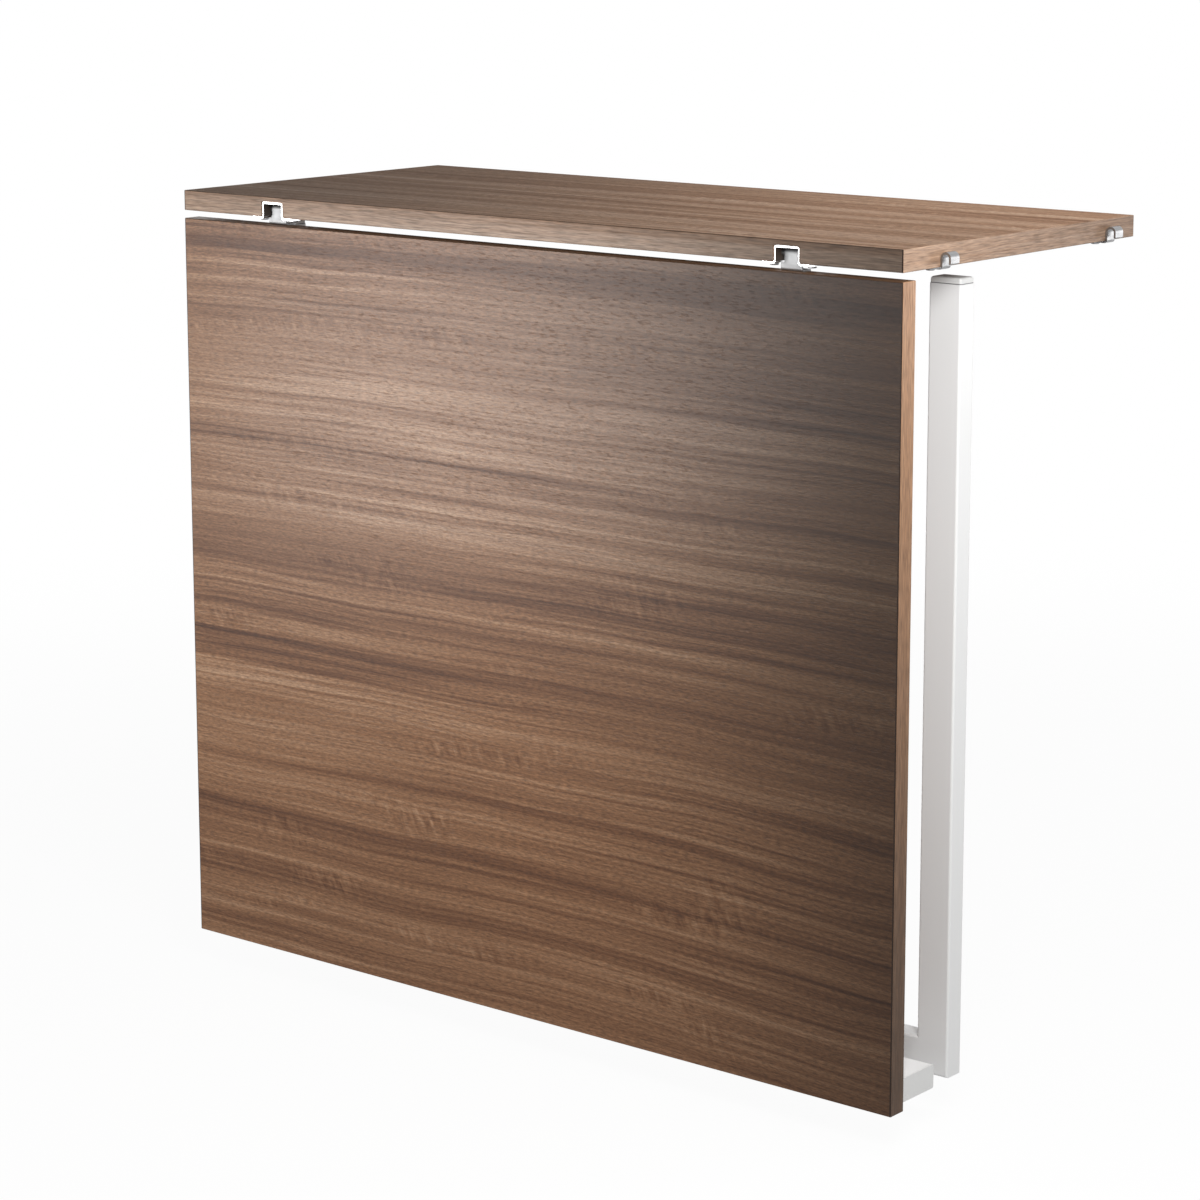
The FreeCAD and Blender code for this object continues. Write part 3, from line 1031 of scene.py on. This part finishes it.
@dataclass(frozen=True)
class ChannelChrome:
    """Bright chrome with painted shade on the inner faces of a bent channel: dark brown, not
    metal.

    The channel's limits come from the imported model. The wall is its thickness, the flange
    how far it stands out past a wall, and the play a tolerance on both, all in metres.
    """

    name: str
    low: Vector
    high: Vector
    wall: float = 0.0016
    flange: float = 0.0115
    play: float = 0.0001
    colour: Colour = opaque(0.90, 0.90, 0.90)
    shade: Colour = opaque(0.84, 0.84, 0.85)
    # Painted shade on the inner faces: a dark brown colour, its mottle and its roughness.
    painted_inner_shade: Colour = opaque(0.026, 0.015, 0.009)
    painted_inner_shade_mottle: Colour = opaque(0.040, 0.026, 0.018)
    roughness: float = 0.12
    painted_inner_shade_roughness: float = 0.6
    wear: float = 0.06
    relief: Relief = Relief(0.000004, 0.5)

    def _inside(self, graph: Graph, place: NodeSocket) -> NodeSocket:
        """Mask the channel's inner faces.

        Args:
            graph: the graph.
            place: object coordinates.

        Returns:
            The mask.
        """
        x, _, z = graph.parted(place)
        middle = (self.low.x + self.high.x) / 2
        half = (self.high.x - self.low.x) / 2 - self.flange - self.wall
        off_middle = graph.calc("ABSOLUTE", graph.calc("SUBTRACT", x, middle))
        between_walls = graph.calc("LESS_THAN", off_middle, half + self.play)
        below_top = graph.calc("LESS_THAN", z, self.high.z - self.wall + self.play)
        return graph.times(between_walls, below_top)

    def build(self, groups: Groups) -> Material:
        """Build the material.

        Args:
            groups: the shared node groups.

        Returns:
            The finished material.
        """
        material, graph, shader = open_material(self.name, self.colour)
        place = graph.place()
        inside = self._inside(graph, place)
        marks = graph.group(groups.rolling, Place=place)
        bloom, lines = marks.outputs["Bloom"], marks.outputs["Lines"]
        plated = graph.blend(bloom, self.colour, self.shade)
        # Painted shade: the inner faces are dark brown and not metal.
        painted_inside = graph.blend(bloom, self.painted_inner_shade, self.painted_inner_shade_mottle)
        clean = Span(0.0, 1.0, self.roughness, self.painted_inner_shade_roughness, smooth=False)
        graph.fill(shader, {
            "Base Color": graph.blend(inside, plated, painted_inside),
            "Metallic": graph.calc("SUBTRACT", 1.0, inside),
            "Roughness": graph.plus(clean.build(graph, inside), graph.times(lines, self.wear)),
            "Normal": self.relief.build(graph, lines),
        })
        return material


# Sub-assemblies


def dress(names: Iterable[str], material: Material) -> None:
    """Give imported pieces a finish.

    Args:
        names: the pieces' names.
        material: the finish, put in every material slot.
    """
    for name in names:
        piece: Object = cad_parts[name]
        for slot in piece.material_slots:
            slot.material = material
        log.info("%s is finished in %s", name, material.name)


def both(stem: str) -> list[str]:
    """The left and right names of a piece."""
    return [f"{stem}_{side.value}" for side in Side]


@dataclass
class Board:
    """One of the two boards, finished in veneer that follows its own edges."""

    node: str
    face: GrainFace
    grain_offset: Triple
    drifts: BoardDrifts
    roughness: float
    specular: float

    def build(self, groups: Groups) -> None:
        """Dress the board.

        Args:
            groups: the shared node groups.
        """
        low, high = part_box(self.node)
        finish = WalnutVeneer(
            name=f"walnut_{self.node}",
            face=self.face,
            low=low,
            high=high,
            grain_offset=self.grain_offset,
            drifts=self.drifts,
            roughness=self.roughness,
            specular=self.specular,
        )
        dress([self.node], finish.build(groups))


@dataclass
class Fittings:
    """Pieces that share one finish."""

    nodes: list[str]
    finish: Union[PowderCoat, PlatedMetal]

    def build(self, groups: Groups) -> None:
        """Dress the pieces."""
        dress(self.nodes, self.finish.build(groups))


@dataclass
class Caps:
    """Plastic caps of the leg frame's feet and of the beam's ends.

    The pad is the part of a foot cap that stands out of its leg, in metres.
    """

    foot_pad: float = 0.0053
    # How high the painted shadow line is at the base of a foot cap's pad, in metres.
    seam_shadow: float = 0.0007

    def build(self, groups: Groups) -> None:
        """Dress the caps.

        Args:
            groups: the shared node groups.
        """
        pad_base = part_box("foot_cap_left")[1].z - self.foot_pad
        feet = MouldedPlastic("white_plastic", pad_base, pad_base + self.seam_shadow)
        dress(both("foot_cap"), feet.build(groups))
        dress(both("beam_cap"), MouldedPlastic("white_plastic_ends").build(groups))


@dataclass
class HingeChannels:
    """The two bent channels in the shelf's notches."""

    stem: str = "hinge_channel"

    def build(self, groups: Groups) -> None:
        """Dress each channel by its own place.

        Args:
            groups: the shared node groups.
        """
        for node in both(self.stem):
            low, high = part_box(node)
            dress([node], ChannelChrome(f"chrome_{node}", low, high).build(groups))


# Studio


def heading(azimuth: float, elevation: float) -> Vector:
    """The direction from the object to a place round it.

    Args:
        azimuth: degrees to the right of straight in front.
        elevation: degrees above level.

    Returns:
        A unit vector.
    """
    turn = math.radians(azimuth)
    rise = math.radians(elevation)
    return Vector((
        math.sin(turn) * math.cos(rise),
        -math.cos(turn) * math.cos(rise),
        math.sin(rise),
    ))


def set_up(thing: Object, place: Vector, back: Vector) -> None:
    """Put a light or a camera in the scene.

    Args:
        thing: its object.
        place: where it stands.
        back: the direction that it looks away from.
    """
    bpy.context.scene.collection.objects.link(thing)
    thing.location = place
    thing.rotation_mode = "QUATERNION"
    thing.rotation_quaternion = (-back).to_track_quat("-Z", "Y")


@dataclass(frozen=True)
class SoftBox:
    """A rectangular studio light, hidden from the camera and aimed at a point.

    Its azimuth and elevation are in degrees, and its lengths in metres.
    """

    name: str
    azimuth: float
    elevation: float
    distance: float
    width: float
    height: float
    watts: float
    target: Triple

    def build(self) -> None:
        """Make the light and aim it."""
        data = bpy.data.lights.new(self.name, "AREA")
        data.shape = "RECTANGLE"
        data.size = self.width
        data.size_y = self.height
        data.energy = self.watts
        light = bpy.data.objects.new(self.name, data)
        light.visible_camera = False
        back = heading(self.azimuth, self.elevation)
        set_up(light, Vector(self.target) + back * self.distance, back)


@dataclass
class Studio:
    """White floor and surround, soft lights and the camera.

    The floor is as white as the surround from its far distance on. It lights the object by
    its bounce, and the shown colour is what the camera sees in the shadow.
    """

    floor_level: float = -0.7142
    floor_reach: float = 14.0
    floor_whiteness: float = 0.95
    floor_near: float = 1.0
    floor_far: float = 2.4
    floor_bounce: Colour = opaque(0.40, 0.40, 0.40)
    floor_shown: Colour = opaque(0.92, 0.92, 0.92)
    surround: float = 0.24
    lights: tuple[SoftBox, ...] = (
        SoftBox(
            "window_left", azimuth=-41.0, elevation=-4.0, distance=2.2,
            width=0.75, height=0.9, watts=25.0, target=(-0.03, -0.178, -0.09),
        ),
        SoftBox(
            "window_right", azimuth=40.0, elevation=22.0, distance=1.05,
            width=0.5, height=0.5, watts=13.4, target=(0.38, -0.1, -0.05),
        ),
        SoftBox(
            "window_back", azimuth=138.0, elevation=4.0, distance=1.75,
            width=0.7, height=0.7, watts=5.0, target=(0.2, 0.0, -0.1),
        ),
        SoftBox(
            "overhead", azimuth=90.0, elevation=65.0, distance=1.1,
            width=0.6, height=0.6, watts=6.0, target=(0.35, 0.0, 0.0),
        ),
    )
    camera_place: Triple = (1.8313, -2.2987, 0.2916)
    camera_azimuth: float = 38.93
    camera_elevation: float = 10.36
    camera_sensor: float = 36.0
    camera_lens: float = 101.7
    camera_shift: tuple[float, float] = (-0.02, -0.09)

    def _seen(self, graph: Graph) -> NodeSocket:
        """Tell what is seen from what is lit.

        Args:
            graph: the graph.

        Returns:
            1 where the camera, a reflection or a see-through surface looks, else 0.
        """
        path = graph.add("ShaderNodeLightPath").outputs
        seen = graph.calc("MAXIMUM", path["Is Camera Ray"], path["Is Glossy Ray"])
        return graph.calc("MAXIMUM", seen, path["Is Transmission Ray"])

    def _floor_surface(self, graph: Graph) -> Node:
        """Make the floor's surface, seen from above.

        Args:
            graph: the graph.

        Returns:
            A shader's node: white to look at, and grey to the light.
        """
        away = graph.add("ShaderNodeVectorMath", operation="LENGTH")
        graph.feed(away.inputs[0], graph.place())
        fade = Span(self.floor_near, self.floor_far, self.floor_whiteness, 1.0)
        whiteness = fade.build(graph, away.outputs["Value"])
        diffuse = graph.add("ShaderNodeBsdfDiffuse")
        to_camera = graph.add("ShaderNodeLightPath").outputs["Is Camera Ray"]
        colour = graph.blend(to_camera, self.floor_bounce, self.floor_shown)
        graph.feed(diffuse.inputs["Color"], colour)
        white = graph.add("ShaderNodeEmission")
        graph.fill(white, {"Color": WHITE, "Strength": 1.0})
        lit = graph.add("ShaderNodeMixShader")
        factor = graph.times(self._seen(graph), whiteness)
        graph.fill(lit, {0: factor, 1: diffuse.outputs[0], 2: white.outputs[0]})
        return lit

    def _floor(self) -> None:
        """Make a floor that keeps the object's shadow and can't be seen from below."""
        reach = self.floor_reach
        square = ((-1, -1), (1, -1), (1, 1), (-1, 1))
        corners = [(x * reach, y * reach, self.floor_level) for x, y in square]
        mesh = bpy.data.meshes.new("studio_floor")
        mesh.from_pydata(corners, [], [(0, 1, 2, 3)])
        floor = bpy.data.objects.new("studio_floor", mesh)
        bpy.context.scene.collection.objects.link(floor)
        material = bpy.data.materials.new("studio_floor")
        material.use_nodes = True
        material.node_tree.nodes.clear()
        graph = Graph(material.node_tree)
        below = graph.add("ShaderNodeNewGeometry").outputs["Backfacing"]
        above = self._floor_surface(graph).outputs[0]
        clear = graph.add("ShaderNodeBsdfTransparent").outputs[0]
        sided = graph.add("ShaderNodeMixShader")
        graph.fill(sided, {0: below, 1: above, 2: clear})
        output = graph.add("ShaderNodeOutputMaterial")
        graph.feed(output.inputs["Surface"], sided.outputs[0])
        mesh.materials.append(material)

    def _surround(self) -> None:
        """Make it white all round, with a dimmer light on the object."""
        world = bpy.data.worlds.new("studio_surround")
        bpy.context.scene.world = world
        world.use_nodes = True
        world.node_tree.nodes.clear()
        graph = Graph(world.node_tree)
        strength = Span(0.0, 1.0, self.surround, 1.0, smooth=False)
        background = graph.add("ShaderNodeBackground")
        graph.fill(background, {
            "Color": WHITE,
            "Strength": strength.build(graph, self._seen(graph)),
        })
        output = graph.add("ShaderNodeOutputWorld")
        graph.feed(output.inputs["Surface"], background.outputs[0])

    def _camera(self) -> None:
        """Make the camera, at the front right and a little above."""
        data = bpy.data.cameras.new("studio_camera")
        data.sensor_width = self.camera_sensor
        data.lens = self.camera_lens
        data.shift_x, data.shift_y = self.camera_shift
        camera = bpy.data.objects.new("studio_camera", data)
        back = heading(self.camera_azimuth, self.camera_elevation)
        set_up(camera, Vector(self.camera_place), back)
        bpy.context.scene.camera = camera

    def build(self) -> None:
        """Make the floor, surround, lights and camera."""
        bpy.context.scene.view_settings.view_transform = "Standard"
        self._floor()
        self._surround()
        for light in self.lights:
            light.build()
        self._camera()
        log.info("the studio has %d lights", len(self.lights))


def main() -> None:
    """Dress every piece and set up the studio."""
    logging.basicConfig(level=logging.INFO, format="%(name)s: %(message)s")
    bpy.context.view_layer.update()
    groups = Groups()

    # Painted light and shade over each board, with the strength of its figure and a tint.
    shelf_drifts = BoardDrifts(
        veneer=Drift(0.66, 1.48, end=0.8),
        veneer_rise=Drift(1.0, 1.62),
        long_lipping=Drift(1.45, 0.38, start=0.45),
        ends=Drift(1.92, 1.42),
        figure=Drift(0.75, 0.75),
        tint=opaque(0.90, 1.08, 1.34),
    )
    leaf_drifts = BoardDrifts(
        veneer=Drift(1.0, 0.14, start=0.38, end=1.10),
        veneer_rise=Drift(1.13, 1.32, end=0.35),
        long_lipping=Drift(1.1, 0.9),
        ends=Drift(0.38, 1.55),
        figure=Drift(1.1, 0.85),
        slant=0.28,
    )
    shelf = Board(
        "shelf_board", GrainFace.LEVEL, grain_offset=(0.37, 2.13, 0.4),
        drifts=shelf_drifts, roughness=0.72, specular=0.11,
    )
    leaf = Board(
        "leaf_board", GrainFace.UPRIGHT, grain_offset=(3.4, 1.26, 0.908),
        drifts=leaf_drifts, roughness=0.27, specular=0.185,
    )
    shelf.build(groups)
    leaf.build(groups)
    Fittings(["leg_beam", "leg_crossbar", *both("leg")], PowderCoat()).build(groups)
    Caps().build(groups)
    HingeChannels().build(groups)

    bright = PlatedMetal(
        "bright_steel", colour=opaque(0.36, 0.36, 0.36), shade=opaque(0.32, 0.32, 0.325),
        roughness=Span(0.3, 0.7, 0.53, 0.63), relief=Relief(0.000006, 0.5),
    )
    Fittings(both("hinge_arm"), bright).build(groups)
    zinc = PlatedMetal(
        "zinc_steel", colour=opaque(0.36, 0.36, 0.36), shade=opaque(0.29, 0.29, 0.30),
        roughness=Span(0.3, 0.7, 0.29, 0.43), relief=Relief(0.00001, 0.5),
    )
    fittings = [
        *both("hook_front"), *both("hook_rear"), *both("hinge_pin"),
        *both("leg_hinge_fixed"), *both("leg_hinge_moving"), *both("leg_hinge_pin"),
        "hook_screws", "channel_screws", "arm_screws", "beam_screws",
        "fixed_plate_screws", "moving_plate_screws",
    ]
    Fittings(fittings, zinc).build(groups)
    Studio().build()


if __name__ == "__main__":
    main()
